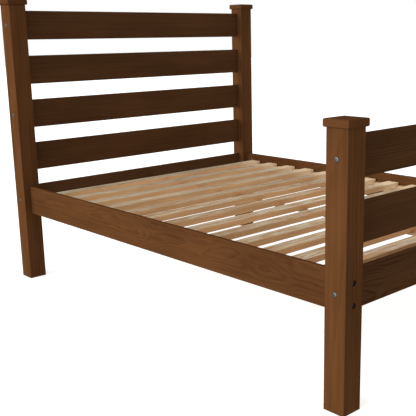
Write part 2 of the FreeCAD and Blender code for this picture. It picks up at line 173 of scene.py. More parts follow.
# Wood screws: how far a head stands proud, and how deep its cross is
SCREW_PROUD = 0.00012
CROSS_DEEP = 0.0016
# An arm of the cross and the head's depth as parts of its radius, and how far cross and head narrow
CROSS_ARM_SHARE = 0.52
SCREW_SKIRT_DEEP_SHARE = 0.55
CROSS_TAPER_SHARE = 0.55
SCREW_SKIRT_SHARE = 0.5
SCREW_SIDES = 24
# How far a cleat's screws stand from its middle
CLEAT_SCREW_REACH = 0.03

# Stage: the ways to the two soft lights, how wide they are, and the floor's roughness
KEY_TOWARD = (-0.955, 0.220, 0.200)
BACK_TOWARD = (0.900, 0.430, 0.000)
LIGHT_WIDTH = math.radians(70)
FLOOR_ROUGHNESS = 0.9
# Camera: the width of its sensor in millimetres, and how far it sees
SENSOR_WIDTH = 36.0
FARTHEST_SEEN = 200.0

# Sockets of the colours in a Mix node, which share their names with those of its other kinds
MIX_FIRST = 6
MIX_SECOND = 7
MIX_RESULT = 2


def colour(name, note, value):
    """A colour setting, linear."""
    return FloatVectorProperty(name=name, description=note, default=value, size=3,
                               min=0, max=1, subtype="COLOR")


def length(name, note, value):
    """A length setting in metres."""
    return FloatProperty(name=name, description=note, default=value, min=0,
                         unit="LENGTH", subtype="DISTANCE", precision=4)


def share(name, note, value):
    """A setting from 0 to 1."""
    return FloatProperty(name=name, description=note, default=value, min=0, max=1,
                         subtype="FACTOR")


def strength(name, note, value):
    """A light's strength."""
    return FloatProperty(name=name, description=note, default=value, min=0)


class WoodFinish(bpy.types.PropertyGroup):
    """Colours and grain of the two woods."""
    walnut_early: colour("Walnut ground", "Stained wood between the growth lines",
                         (0.120, 0.0485, 0.0170))
    walnut_late: colour("Walnut lines", "Stained growth lines", (0.067, 0.0264, 0.0090))
    board_early: colour("Board ground", "Head and foot boards between the growth lines",
                        (0.091, 0.0395, 0.0160))
    board_late: colour("Board lines", "Growth lines of the head and foot boards",
                       (0.051, 0.0215, 0.0085))
    walnut_pore: colour("Walnut pores", "Fine dark pores along the grain",
                        (0.042, 0.0164, 0.0058))
    walnut_edge: colour("Walnut edges", "Where the stain is thin on the edges",
                        (0.152, 0.0640, 0.0232))
    # Painted shade: a near-black colour painted on the walls of bores and recesses, where shade
    # falls
    bore_painted_shade: colour("Walnut bores", "Dark walls of the bores and recesses",
                        (0.018, 0.009, 0.005))
    pine_early: colour("Pine ground", "Bare pine between the growth lines", (0.66, 0.60, 0.443))
    pine_late: colour("Pine lines", "Growth lines of bare pine", (0.50, 0.27, 0.125))
    pine_side: colour("Pine sides", "Sawn narrow sides of the slats", (0.75, 0.425, 0.195))
    # Painted light: a pale colour painted near the slats' right ends, where more light falls
    end_painted_light: colour("Pine ends", "Paler wood near the slats' right ends", (1.0, 0.74, 0.47))
    pine_ledger: colour("Pine strips", "Paler strips and blocks that carry the slats",
                        (0.60, 0.43, 0.28))
    ring_walnut: length("Walnut rings", "Distance between growth rings", 0.0065)
    ring_pine: length("Pine rings", "Distance between growth rings", 0.0085)
    walnut_gloss: share("Walnut roughness", "Roughness of the matt stain", 0.86)
    pine_gloss: share("Pine roughness", "Roughness of bare planed pine", 0.66)


class Hardware(bpy.types.PropertyGroup):
    """Sizes and colours of bolts, nuts and screws."""
    bright: colour("Bright steel", "Plated bolts on the posts' sides", (0.095, 0.108, 0.110))
    black: colour("Black steel", "Sunk bolts and washers", (0.062, 0.062, 0.066))
    zinc: colour("Zinc", "Cross nuts and wood screws", (0.58, 0.57, 0.52))
    dowel: colour("Dowels", "Bare hardwood dowels", (0.52, 0.37, 0.21))
    screw_head: length("Screw head", "Diameter of the wood screws' heads", 0.0085)
    cross_wide: length("Screw cross", "Width of the cross recess's arms", 0.0011)
    round_sides: IntProperty(name="Round sides", description="Faces round a bolt or a washer",
                             default=40, min=12, max=96)


class StageSettings(bpy.types.PropertyGroup):
    """Camera, lights and floor."""
    camera_place: FloatVectorProperty(name="Camera place", description="Where the camera stands",
                                      default=(-2.6337, -2.5851, 1.2469), size=3,
                                      unit="LENGTH", subtype="TRANSLATION")
    camera_turn: FloatVectorProperty(name="Camera turn", description="Euler angles of the camera",
                                     default=(1.339747, 0.012890, -0.761174), size=3,
                                     unit="ROTATION", subtype="EULER", precision=5)
    camera_lens: FloatProperty(name="Lens", description="Focal length on a 36 mm sensor in mm",
                               default=65.58, min=10, max=300)
    camera_shift: FloatVectorProperty(name="Shift", description="Camera shift across and up",
                                      default=(-0.09976, 0.01444), size=2, precision=5)
    floor: colour("Floor", "Plain pale floor", (0.93, 0.93, 0.92))
    floor_size: length("Floor size", "Side of the square floor", 60.0)
    key_power: strength("Key light", "Strength of the soft light from the left", 3.2)
    back_power: strength("Back light", "Strength of the soft light behind the bed", 0.7)
    fill_power: strength("Fill light", "Strength of the light all round", 0.55)
    floor_glow: strength("Floor glow", "How far the floor lights itself", 0.62)


# Node trees

def node(tree, kind, inputs=None, **options):
    """Add a node, set its options, and give its inputs values or other nodes' outputs."""
    made = tree.nodes.new(kind)
    for option, choice in options.items():
        setattr(made, option, choice)
    for socket, source in (inputs or {}).items():
        if isinstance(source, bpy.types.NodeSocket):
            tree.links.new(source, made.inputs[socket])
        else:
            made.inputs[socket].default_value = source
    return made


def calc(tree, operation, a, b=0.0, c=0.0):
    """One step of arithmetic."""
    return node(tree, "ShaderNodeMath", {0: a, 1: b, 2: c}, operation=operation).outputs[0]


def spread(tree, value, low, high, to_low=0.0, to_high=1.0):
    """Map a value from one range to another, smoothly and within its ends."""
    ends = {"Value": value, "From Min": low, "From Max": high, "To Min": to_low, "To Max": to_high}
    return node(tree, "ShaderNodeMapRange", ends, interpolation_type="SMOOTHSTEP").outputs[0]


def between(tree, value, low, high):
    """Run evenly from a low to a high figure while a value runs from 0 to 1."""
    return calc(tree, "MULTIPLY_ADD", value, high - low, low)


def blend(tree, factor, first, second):
    """Mix two colours."""
    mixed = node(tree, "ShaderNodeMix", {0: factor, MIX_FIRST: first, MIX_SECOND: second},
                 data_type="RGBA")
    return mixed.outputs[MIX_RESULT]


def scaled(tree, rgb, factor):
    """Make a colour lighter or darker by a factor."""
    return node(tree, "ShaderNodeVectorMath", {"Vector": rgb, "Scale": factor},
                operation="SCALE").outputs[0]


def full(rgb):
    """A colour with its alpha."""
    return (*rgb, 1.0)


def new_material(name):
    """An empty material with a surface shader."""
    made = bpy.data.materials.new(name)
    made.use_nodes = True
    tree = made.node_tree
    tree.nodes.clear()
    shader = node(tree, "ShaderNodeBsdfPrincipled")
    node(tree, "ShaderNodeOutputMaterial", {"Surface": shader.outputs[0]})
    return made, tree, shader


def finish_surface(tree, shader, rgb, rough, height, relief, relief_depth):
    """Give a shader its colour, its roughness and a fine relief."""
    tree.links.new(rgb, shader.inputs["Base Color"])
    tree.links.new(rough, shader.inputs["Roughness"])
    bump = node(tree, "ShaderNodeBump",
                {"Strength": relief, "Distance": relief_depth, "Height": height})
    tree.links.new(bump.outputs[0], shader.inputs["Normal"])


# Wood

class Plank:
    """A piece of wood: its middle, its half sizes, and how its grain, face and edge lie."""

    def __init__(self, name, along, across):
        low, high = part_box(name)
        self.name = name
        self.middle = (low + high) / 2
        self.turn = Matrix((along, across, along.cross(across))).transposed()
        reach = (high - low) / 2
        self.half = [abs(self.turn.col[axis].dot(reach)) for axis in range(3)]
        self.chance = random.Random(name)

    def either(self, low, high):
        """A chance figure of a range, or its opposite."""
        return self.chance.choice((-1, 1)) * self.chance.uniform(low, high)

    def coordinates(self, tree, shift=(0, 0, 0), stretch=(1, 1, 1), tilt=(0, 0)):
        """Object coordinates turned so that x runs along the grain and y across the face."""
        lean = Matrix.Rotation(tilt[0], 3, "Y") @ Matrix.Rotation(tilt[1], 3, "Z")
        source = node(tree, "ShaderNodeTexCoord").outputs["Object"]
        mapping = node(tree, "ShaderNodeMapping", {"Vector": source}, vector_type="TEXTURE")
        mapping.inputs["Location"].default_value = self.middle + self.turn @ Vector(shift)
        mapping.inputs["Rotation"].default_value = (self.turn @ lean).to_euler()
        mapping.inputs["Scale"].default_value = stretch
        return mapping.outputs[0]

    def position(self, tree):
        """Distances from the piece's middle along its grain, across its face and through it."""
        return node(tree, "ShaderNodeSeparateXYZ", {0: self.coordinates(tree)}).outputs


def growth_lines(tree, plank, line, spacing, pith, tilt, wobble, stretch):
    """Lines of growth rings about a pith that lies aslant to the piece, from 0 to 1."""
    chance = plank.chance
    shift = (chance.uniform(-0.9, 0.9), *pith)
    where = plank.coordinates(tree, shift, (stretch, 1, 1), tilt)
    # A wave texture of scale 1 has 10 rings in pi metres
    wave = node(tree, "ShaderNodeTexWave", {
        "Vector": where, "Scale": math.pi / 10 / spacing, "Distortion": wobble,
        "Detail": RING_DETAIL, "Detail Scale": RING_FINENESS * spacing,
        "Detail Roughness": RING_ROUGHNESS, "Phase Offset": chance.uniform(0, 6),
    }, wave_type="RINGS", rings_direction="X", wave_profile="SAW")
    ring = wave.outputs["Fac"]
    start, darkest, fall = line
    return calc(tree, "MULTIPLY", spread(tree, ring, start, darkest),
                spread(tree, ring, fall, 1.0, 1.0, 0.0))


def mottle(tree, plank, stretch, detail, rough, low, high):
    """Noise in a piece's own directions, stretched to lengths, from 0 to 1."""
    shift = [plank.chance.uniform(-3, 3) for _ in range(3)]
    where = plank.coordinates(tree, shift, stretch)
    made = node(tree, "ShaderNodeTexNoise",
                {"Vector": where, "Scale": 1.0, "Detail": detail, "Roughness": rough})
    return spread(tree, made.outputs["Fac"], low, high)


def distances(tree, plank):
    """How far inside its faces a point lies, in each of the piece's directions."""
    return [calc(tree, "SUBTRACT", half, calc(tree, "ABSOLUTE", place))
            for half, place in zip(plank.half, plank.position(tree))]


def arris(tree, inside, width):
    """1 on a piece's arrises and 0 away from them."""
    near = [spread(tree, depth, 0.0, width, 1.0, 0.0) for depth in inside]
    pairs = [calc(tree, "MULTIPLY", near[a], near[b]) for a, b in ((0, 1), (1, 2), (0, 2))]
    return calc(tree, "MAXIMUM", calc(tree, "MAXIMUM", pairs[0], pairs[1]), pairs[2])


def walnut(plank, pith=None, tilt=None, board=False, painted_light_tone=1.0, shaded_flats=1.0, figure=1.0,
           streaks=1.0, spacing=1.0, wobble=26.0, stretch=7.0):
    """Stained wood with growth lines, pores, uneven stain and worn arrises, with painted shade on
    the walls of its bores, flat faces that can be painted darker as painted shade, and a tone that
    lightens or darkens it all as painted light and shade.
    """
    finish = bpy.context.scene.wood_finish
    chance = plank.chance
    pith = pith or (chance.uniform(-0.025, 0.025), plank.either(0.045, 0.08))
    tilt = tilt or (plank.either(0.012, 0.03), chance.uniform(-0.012, 0.012))
    made, tree, shader = new_material(f"walnut_{plank.name}")

    line = growth_lines(tree, plank, WALNUT_LINE, finish.ring_walnut * spacing, pith, tilt,
                        wobble, stretch)
    streak = mottle(tree, plank, *WALNUT_STREAK)
    stain = mottle(tree, plank, *WALNUT_STAIN)
    pore = mottle(tree, plank, *WALNUT_PORE)
    inside = distances(tree, plank)

    early, late = finish.walnut_early, finish.walnut_late
    if board:
        early, late = finish.board_early, finish.board_late
    shown = between(tree, streak, *(figure * part for part in WALNUT_LINE_SHOWS))
    ground = blend(tree, calc(tree, "MULTIPLY", line, shown), full(early), full(late))
    # Painted light and shade: the tone lightens or darkens the whole stain
    cloudy = between(tree, stain, *(painted_light_tone * part for part in WALNUT_STAIN_SHADE))
    swing = WALNUT_STREAK_SHADE * streaks
    shade = calc(tree, "MULTIPLY", cloudy, between(tree, streak, 1 + swing, 1 - swing))
    pores = calc(tree, "MULTIPLY", pore, WALNUT_PORE_SHOWS * figure)
    pored = blend(tree, pores, scaled(tree, ground, shade), full(finish.walnut_pore))
    worn = calc(tree, "MULTIPLY", arris(tree, inside, WORN_ARRIS),
                between(tree, streak, *WALNUT_WEAR_SHOWS))
    edged = blend(tree, worn, pored, full(finish.walnut_edge))
    # Painted shade: the flat faces through the piece, such as a cap's top and underside, are
    # painted darker
    if shaded_flats != 1.0:
        edged = scaled(tree, edged, spread(tree, inside[2], *SHADED_FLAT_FACE, shaded_flats, 1.0))
    end_grain = spread(tree, inside[0], *END_GRAIN, WALNUT_END_SHOWS, 0.0)
    ended = blend(tree, end_grain, edged, full(finish.walnut_pore))
    # Painted shade: walls deep inside the piece's faces, in its bores and recesses, are painted
    # near black
    depth = calc(tree, "MINIMUM", calc(tree, "MINIMUM", inside[0], inside[1]), inside[2])
    painted = blend(tree, spread(tree, depth, *BORE_SHADE_DEPTH), ended, full(finish.bore_painted_shade))

    rough = calc(tree, "MULTIPLY_ADD", pore, WALNUT_PORE_ROUGHNESS, finish.walnut_gloss)
    rough = calc(tree, "MULTIPLY_ADD", streak, WALNUT_STREAK_ROUGHNESS, rough)
    sunk = calc(tree, "MULTIPLY", pore, -1.0)
    height = calc(tree, "MULTIPLY_ADD", line, WALNUT_LINE_HEIGHT, sunk)
    finish_surface(tree, shader, painted, rough, height, WALNUT_RELIEF, WOOD_RELIEF_DEPTH)
    shader.inputs["Specular IOR Level"].default_value = WALNUT_SHEEN
    return made


def pine(plank, pale, sides=None, lines=1.0, painted_light_tone=1.0):
    """Bare planed pine with orange growth lines and fibres; slats get painted light near their
    right ends, and a tone lightens or darkens it as painted light and shade.
    """
    finish = bpy.context.scene.wood_finish
    chance = plank.chance
    pith = (chance.uniform(-0.05, 0.05), plank.either(0.03, 0.09))
    tilt = (plank.either(0.01, 0.03), chance.uniform(-0.02, 0.02))
    made, tree, shader = new_material(f"pine_{plank.name}")

    line = growth_lines(tree, plank, PINE_LINE, finish.ring_pine, pith, tilt, wobble=34.0,
                        stretch=5.0)
    streak = mottle(tree, plank, *PINE_STREAK)
    cloud = mottle(tree, plank, *PINE_CLOUD)
    fibre = mottle(tree, plank, *PINE_FIBRE)
    fleck = mottle(tree, plank, *PINE_FLECK)
    inside = distances(tree, plank)

    orange = calc(tree, "MULTIPLY", streak, lines * chance.uniform(*PINE_STREAK_SHOWS))
    orange = calc(tree, "MULTIPLY_ADD", line, PINE_LINE_SHOWS * lines, orange)
    orange = calc(tree, "MULTIPLY_ADD", fleck, PINE_FLECK_SHOWS * lines, orange)
    ground = blend(tree, orange, full(pale), full(finish.pine_late))
    # Painted light and shade: the tone lightens or darkens the whole pine
    least = (PINE_LEAST_SHADE + PINE_CHANCE_SHADE * chance.random()) * painted_light_tone
    shade = calc(tree, "MULTIPLY_ADD", cloud, PINE_CLOUD_SHADE * painted_light_tone, least)
    shade = calc(tree, "MULTIPLY", shade, between(tree, fibre, *PINE_FIBRE_SHADE))
    toned = scaled(tree, ground, shade)
    if sides:
        sawn = spread(tree, inside[1], *SAWN_SIDE, 1.0, 0.0)
        toned = blend(tree, calc(tree, "MULTIPLY", sawn, PINE_SIDE_SHOWS), toned,
                      scaled(tree, sides, shade))
        # Painted light: the stretch before the slat's right end is painted pale
        lit_from, brightest_from = (plank.half[0] - back for back in LIT_END_REACH)
        lit_end = spread(tree, plank.position(tree)[0], lit_from, brightest_from)
        toned = blend(tree, lit_end, toned, full(finish.end_painted_light))
    end_grain = spread(tree, inside[0], *END_GRAIN, PINE_END_SHOWS, 0.0)
    painted = blend(tree, end_grain, toned, full(finish.pine_late))

    rough = calc(tree, "MULTIPLY_ADD", fibre, PINE_FIBRE_ROUGHNESS, finish.pine_gloss)
    height = calc(tree, "MULTIPLY_ADD", line, PINE_LINE_HEIGHT, fibre)
    finish_surface(tree, shader, painted, rough, height, PINE_RELIEF, WOOD_RELIEF_DEPTH)
    shader.inputs["Specular IOR Level"].default_value = PINE_SHEEN
    return made


def steel(name, rgb, metallic, rough, fineness):
    """Metal with fine scratches, small stains and a mottled sheen."""
    made, tree, shader = new_material(name)
    where = node(tree, "ShaderNodeTexCoord").outputs["Object"]
    stains = node(tree, "ShaderNodeTexNoise",
                  {"Vector": where, "Scale": fineness, "Detail": 3.0, "Roughness": 0.6})
    scratches = node(tree, "ShaderNodeTexNoise",
                     {"Vector": where, "Scale": fineness * SCRATCH_FINENESS, "Detail": 2.0})
    stained = spread(tree, stains.outputs["Fac"], *METAL_STAIN)
    grain = scratches.outputs["Fac"]
    shade = between(tree, stained, *METAL_SHADE)
    rough_here = between(tree, grain, *(rough + change for change in METAL_ROUGHNESS))
    finish_surface(tree, shader, scaled(tree, rgb, shade), rough_here, grain,
                   METAL_RELIEF, METAL_RELIEF_DEPTH)
    shader.inputs["Metallic"].default_value = metallic
    return made


# Pieces

def paint(name, material):
    """Give a CAD node its material."""
    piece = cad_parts[name]
    piece.data.materials.clear()
    piece.data.materials.append(material)


def finish_piece(name, shape, material, slot, *replaced):
    """Make an object of a bmesh, with smooth rounds and sharp corners, that rides on the bed."""
    mesh = bpy.data.meshes.new(name)
    bmesh.ops.recalc_face_normals(shape, faces=shape.faces)
    shape.to_mesh(mesh)
    shape.free()
    for face in mesh.polygons:
        face.use_smooth = True
    mesh.set_sharp_from_angle(angle=SHARP_ANGLE)
    mesh.materials.append(material)
    piece = bpy.data.objects.new(name, mesh)
    bpy.context.scene.collection.objects.link(piece)
    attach(piece, "root")
    if replaced:
        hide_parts(*replaced)


def bevel(shape, edges, width, segments):
    """Round edges of a shape."""
    bmesh.ops.bevel(shape, geom=edges, offset=width, segments=segments, profile=0.5,
                    affect="EDGES", material=-1)


def cap_shape(low, high):
    """A square slab with rounded upper and lower edges and nearly sharp upright corners."""
    shape = bmesh.new()
    bmesh.ops.create_cube(shape, size=1.0)
    bmesh.ops.scale(shape, vec=high - low, verts=shape.verts)
    bmesh.ops.translate(shape, vec=(low + high) / 2, verts=shape.verts)
    level = [edge for edge in shape.edges
             if abs(edge.verts[0].co.z - edge.verts[1].co.z) < SAME_SPOT]
    bevel(shape, level, CAP_ROUNDING, segments=6)
    corners = []
    for edge in shape.edges:
        spot = (edge.verts[0].co + edge.verts[1].co - low - high) / 2
        if abs(abs(spot.x) - abs(spot.y)) < SAME_DIAGONAL:
            corners.append(edge)
    bevel(shape, corners, CAP_CORNER, segments=2)
    return shape


def turned(profile, sides):
    """A shape turned about Z from a line of (radius, height)."""
    shape = bmesh.new()
    spots = [shape.verts.new((radius, 0, height)) for radius, height in profile]
    for first, second in zip(spots, spots[1:]):
        shape.edges.new((first, second))
    bmesh.ops.spin(shape, geom=shape.verts[:] + shape.edges[:], cent=(0, 0, 0), axis=Z,
                   angle=math.tau, steps=sides, use_merge=True)
    bmesh.ops.remove_doubles(shape, verts=shape.verts, dist=SAME_SPOT)
    return shape


def washer_shape(sides):
    """A washer with eased outer edges, standing on z = 0."""
    rim = WASHER_RADIUS - WASHER_EASE
    return turned([(WASHER_BORE, 0), (rim, 0), (WASHER_RADIUS, WASHER_EASE),
                   (WASHER_RADIUS, WASHER_THICK - WASHER_EASE), (rim, WASHER_THICK),
                   (WASHER_BORE, WASHER_THICK), (WASHER_BORE, 0)], sides)


def new_parts(made, kind):
    """The parts of one kind that an operator made."""
    return [part for part in made["geom"] if isinstance(part, kind)]


def circle(shape, sides, radius, height):
    """Add a level circle about Z and return its edges."""
    ring = bmesh.ops.create_circle(shape, cap_ends=False, segments=sides, radius=radius,
                                   matrix=Matrix.Translation((0, 0, height)))["verts"]
    return list({edge for vert in ring for edge in vert.link_edges})


def bolt_shape(head_radius, head, crown, rim, shank_radius, shank, socket, socket_deep, sides):
    """A bolt seated at z = 0, its crowned head with a hexagon socket up, its shank down."""
    face_radius = head_radius - rim
    side = [
        (head_radius * math.cos(turn) + face_radius * (1 - math.cos(turn)),
         head - crown - rim + rim * math.sin(turn))
        for turn in (math.pi / 2 * step / ROUND_STEPS for step in range(ROUND_STEPS + 1))
    ]
    corner_radius = socket / math.sqrt(3)
    mouth = corner_radius + SOCKET_MARGIN
    dome = []
    for step in range(1, ROUND_STEPS + 1):
        radius = face_radius + (mouth - face_radius) * step / ROUND_STEPS
        part = radius / face_radius
        dome.append((radius, head - crown + crown * (1 - part * part)))
    shape = turned([
        (0, -shank), (shank_radius - BOLT_TIP, -shank), (shank_radius, -shank + BOLT_TIP),
        (shank_radius, 0), (head_radius - HEAD_EASE, 0), (head_radius, HEAD_EASE), *side, *dome,
    ], sides)
    mouth_edges = [edge for edge in shape.edges if edge.is_boundary]
    hexagon = circle(shape, HEXAGON, corner_radius, dome[-1][1] - SOCKET_STEP)
    bmesh.ops.bridge_loops(shape, edges=mouth_edges + hexagon)
    sunk = bmesh.ops.extrude_edge_only(shape, edges=hexagon)
    bottom = new_parts(sunk, bmesh.types.BMVert)
    bmesh.ops.translate(shape, vec=(0, 0, -socket_deep), verts=bottom)
    bmesh.ops.edgeloop_fill(shape, edges=[edge for edge in new_parts(sunk, bmesh.types.BMEdge)
                                          if edge.is_boundary])
    return shape


def draw_in(verts, part, height):
    """Move corners towards the Z axis, to a part of their distance, at a height."""
    for vert in verts:
        vert.co = (vert.co.x * part, vert.co.y * part, height)


def screw_head_shape(radius, cross):
    """A countersunk screw head with a cross recess, its flat top just above z = 0."""
    arm = radius * CROSS_ARM_SHARE
    half = cross / 2
    outline = [(arm, -half), (arm, half), (half, half), (half, arm), (-half, arm),
               (-half, half), (-arm, half), (-arm, -half), (-half, -half), (-half, -arm),
               (half, -arm), (half, -half)]
    shape = bmesh.new()
    rim_edges = circle(shape, SCREW_SIDES, radius, SCREW_PROUD)
    spots = [shape.verts.new((x, y, SCREW_PROUD)) for x, y in outline]
    cross_edges = [shape.edges.new((a, b)) for a, b in zip(spots, spots[1:] + spots[:1])]
    bmesh.ops.triangle_fill(shape, use_beauty=True, use_dissolve=False,
                            edges=rim_edges + cross_edges)

    sunk = bmesh.ops.extrude_edge_only(shape, edges=cross_edges)
    bottom = new_parts(sunk, bmesh.types.BMVert)
    draw_in(bottom, CROSS_TAPER_SHARE, SCREW_PROUD - CROSS_DEEP)
    bottom_edges = [edge for edge in new_parts(sunk, bmesh.types.BMEdge)
                    if edge.is_boundary and all(vert in bottom for vert in edge.verts)]
    bmesh.ops.triangle_fill(shape, use_beauty=True, edges=bottom_edges)

    skirt = bmesh.ops.extrude_edge_only(shape, edges=rim_edges)
    draw_in(new_parts(skirt, bmesh.types.BMVert), SCREW_SKIRT_SHARE,
            SCREW_PROUD - radius * SCREW_SKIRT_DEEP_SHARE)
    bmesh.ops.edgeloop_fill(shape, edges=[edge for edge in new_parts(skirt, bmesh.types.BMEdge)
                                          if edge.is_boundary])
    return shape


def add_copies(shape, places):
    """Turn one shape into copies of it at a list of places."""
    mould = bpy.data.meshes.new("mould")
    shape.to_mesh(mould)
    shape.clear()
    for place in places:
        before = len(shape.verts)
        shape.from_mesh(mould)
        shape.verts.ensure_lookup_table()
        bmesh.ops.transform(shape, matrix=place, verts=shape.verts[before:])
    bpy.data.meshes.remove(mould)


def facing(direction, spot):
    """A place where a shape's +Z points in a direction."""
    turn = Vector(direction).to_track_quat("Z", "Y").to_matrix().to_4x4()
    return Matrix.Translation(spot) @ turn


def islands(name):
    """Lowest and highest corner of each separate solid of a CAD node."""
    shape = bmesh.new()
    shape.from_mesh(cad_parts[name].data)
    bmesh.ops.remove_doubles(shape, verts=shape.verts, dist=SAME_SPOT)
    left = set(shape.verts)
    boxes = []
    while left:
        stack = [left.pop()]
        group = list(stack)
        while stack:
            for edge in stack.pop().link_edges:
                for vert in edge.verts:
                    if vert in left:
                        left.remove(vert)
                        stack.append(vert)
                        group.append(vert)
        low = Vector(min(vert.co[axis] for vert in group) for axis in range(3))
        high = Vector(max(vert.co[axis] for vert in group) for axis in range(3))
        boxes.append((low, high))
    shape.free()
    return sorted(boxes, key=lambda box: tuple(round(c, 4) for c in box[0]))


def outward_places(name, along, depth):
    """Places in the solids of a CAD node, facing out along an axis, a depth below their tops."""
    places = []
    for low, high in islands(name):
        middle = (low + high) / 2
        out = along if middle.dot(along) > 0 else -along
        top = max(low.dot(out), high.dot(out))
        places.append(facing(out, middle + out * (top - depth - middle.dot(out))))
    return places


class BED_OT_posts(bpy.types.Operator):
    """Stain the four posts, their grain upright."""
    bl_idname = "bed.posts"
    bl_label = "Posts"

    def execute(self, context):
        for name in POSTS:
            plank = Plank(name, Z, X)
            pith = (plank.chance.uniform(0.11, 0.14), plank.chance.uniform(-0.01, 0.01))
            stained = walnut(plank, pith, tilt=(0.004, 0.004), figure=0.42, streaks=1.1,
                             spacing=2.1, wobble=18.0)
            paint(name, stained)
        return {"FINISHED"}


class BED_OT_caps(bpy.types.Operator):
    """Make the four square caps with rounded edges."""
    bl_idname = "bed.caps"
    bl_label = "Caps"

    def execute(self, context):
        for name in CAPS:
            # Painted shade: the caps' flat tops and undersides are painted darker than their sides,
            # where less light falls
            stained = walnut(Plank(name, Y, X), shaded_flats=0.86, figure=0.5)
            finish_piece(f"{name}_rounded", cap_shape(*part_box(name)), stained, "walnut_wood",
                         name)
        return {"FINISHED"}


class BED_OT_head_boards(bpy.types.Operator):
    """Stain the five boards between the head posts."""
    bl_idname = "bed.head_boards"
    bl_label = "Head boards"

    def execute(self, context):
        for name in HEAD_BOARDS:
            plank = Plank(name, X, Z)
            pith = (plank.chance.choice((-1, 1)) * 0.13, plank.chance.uniform(0.09, 0.12))
            tilt = (0.003, plank.chance.uniform(-0.006, 0.006))
            # Painted light: the head boards are painted lighter, against the shade they get behind
            # the slats
            stained = walnut(plank, pith, tilt, board=True, painted_light_tone=1.08, figure=0.7, wobble=20.0)
            paint(name, stained)
        return {"FINISHED"}


class BED_OT_foot_boards(bpy.types.Operator):
    """Stain the three boards between the foot posts."""
    bl_idname = "bed.foot_boards"
    bl_label = "Foot boards"

    def execute(self, context):
        straight = {"pith": (0.12, 0.03), "tilt": (0.0, 0.001), "figure": 1.0, "spacing": 1.3,
                    "wobble": 8.0, "stretch": 8.0}
        plain = {"pith": (-0.12, 0.08), "tilt": (0.004, -0.004), "figure": 0.6,
                 "spacing": 1.1, "wobble": 24.0, "stretch": 5.0}
        arched = {"pith": (-0.02, 0.05), "tilt": (0.012, 0.008), "figure": 1.0,
                  "spacing": 1.5, "wobble": 40.0, "stretch": 3.0}
        for name, figure in zip(FOOT_BOARDS, (straight, plain, arched)):
            # Painted shade: the foot boards are painted a little darker, to match the head boards
            # under the lights
            stained = walnut(Plank(name, X, Z), board=True, painted_light_tone=0.97, **figure)
            paint(name, stained)
        return {"FINISHED"}


class BED_OT_side_boards(bpy.types.Operator):
    """Stain the two side boards, with their growth lines drawn out in long arches."""
    bl_idname = "bed.side_boards"
    bl_label = "Side boards"

    def execute(self, context):
        for name in SIDE_BOARDS:
            # Painted shade: the side boards are painted a little darker, to match the posts'
            # brightness under the lights
            stained = walnut(Plank(name, Y, Z), pith=(0.01, 0.06), tilt=(0.01, 0.006), painted_light_tone=0.94,
                             figure=0.6, spacing=1.15, wobble=44.0, stretch=3.0)
            paint(name, stained)
        return {"FINISHED"}


class BED_OT_slats(bpy.types.Operator):
    """Give the thirteen slats bare pine with orange sides."""
    bl_idname = "bed.slats"
    bl_label = "Slats"

    def execute(self, context):
        finish = context.scene.wood_finish
        for name in SLATS:
            # Painted light: the slat nearest the foot is painted palest, against the shade it gets
            # by the foot boards; the four nearest the head have less orange grain and are painted a
            # little lighter, as painted light
            painted_light_tone, lines = 0.96, 1.0
            if name == SLATS[-1]:
                painted_light_tone = 1.11
            elif name in SLATS[:4]:
                painted_light_tone, lines = 0.985, 0.66
            bare = pine(Plank(name, X, Y), finish.pine_early, finish.pine_side, lines, painted_light_tone)
            paint(name, bare)
        return {"FINISHED"}


class BED_OT_slat_carriers(bpy.types.Operator):
    """Give the ledgers, the centre batten and its cleats paler pine."""
    bl_idname = "bed.slat_carriers"
    bl_label = "Ledgers, batten and cleats"

    def execute(self, context):
        pale = context.scene.wood_finish.pine_ledger
        for names, along, lines in ((LEDGERS + BATTEN, Y, 0.5), (CLEATS, X, 0.6)):
            for name in names:
                paint(name, pine(Plank(name, along, Z), pale, lines=lines))
        return {"FINISHED"}


class BED_OT_rail_bolts(bpy.types.Operator):
    """Make the ten bright bolts with crowned heads on the posts' outer sides."""
    bl_idname = "bed.rail_bolts"
    bl_label = "Bright bolts"

    def execute(self, context):
        metal = context.scene.hardware
        shape = bolt_shape(**RAIL_BOLT, sides=metal.round_sides)
        add_copies(shape, outward_places("rail_bolts", X, RAIL_BOLT["head"]))
        plated = steel("bright_steel", metal.bright, metallic=0.85, rough=0.3, fineness=260.0)
        finish_piece("rail_bolts_bright", shape, plated, "bright_steel", "rail_bolts")
        return {"FINISHED"}


class BED_OT_side_bolts(bpy.types.Operator):
    """Make the eight sunk black bolts and the washers under their heads."""
    bl_idname = "bed.side_bolts"
    bl_label = "Black bolts and washers"

    def execute(self, context):
        metal = context.scene.hardware
        black = steel("black_steel", metal.black, metallic=0.6, rough=0.42, fineness=220.0)
        shape = bolt_shape(**SIDE_BOLT, sides=metal.round_sides)
        add_copies(shape, outward_places("side_rail_bolts", Y, SIDE_BOLT["head"]))
        finish_piece("side_rail_bolts_black", shape, black, "black_steel", "side_rail_bolts")

        shape = washer_shape(metal.round_sides)
        add_copies(shape, outward_places("side_rail_washers", Y, WASHER_THICK))
        finish_piece("side_rail_washers_black", shape, black, "black_steel",
                     "side_rail_washers")
        return {"FINISHED"}


class BED_OT_hidden_hardware(bpy.types.Operator):
    """Finish the cross nuts and the dowels."""
    bl_idname = "bed.hidden_hardware"
    bl_label = "Cross nuts and dowels"

    def execute(self, context):
        metal = context.scene.hardware
        zinc = steel("zinc_cross_nuts", metal.zinc, metallic=0.8, rough=0.4, fineness=240.0)
        for name in ("rail_barrel_nuts", "side_rail_barrel_nuts"):
            paint(name, zinc)
        for name, along, across in (("rail_dowels", X, Z), ("side_rail_dowels", Y, Z),
                                    ("cap_dowels", Z, X)):
            paint(name, pine(Plank(name, along, across), metal.dowel, lines=0.5))
        return {"FINISHED"}


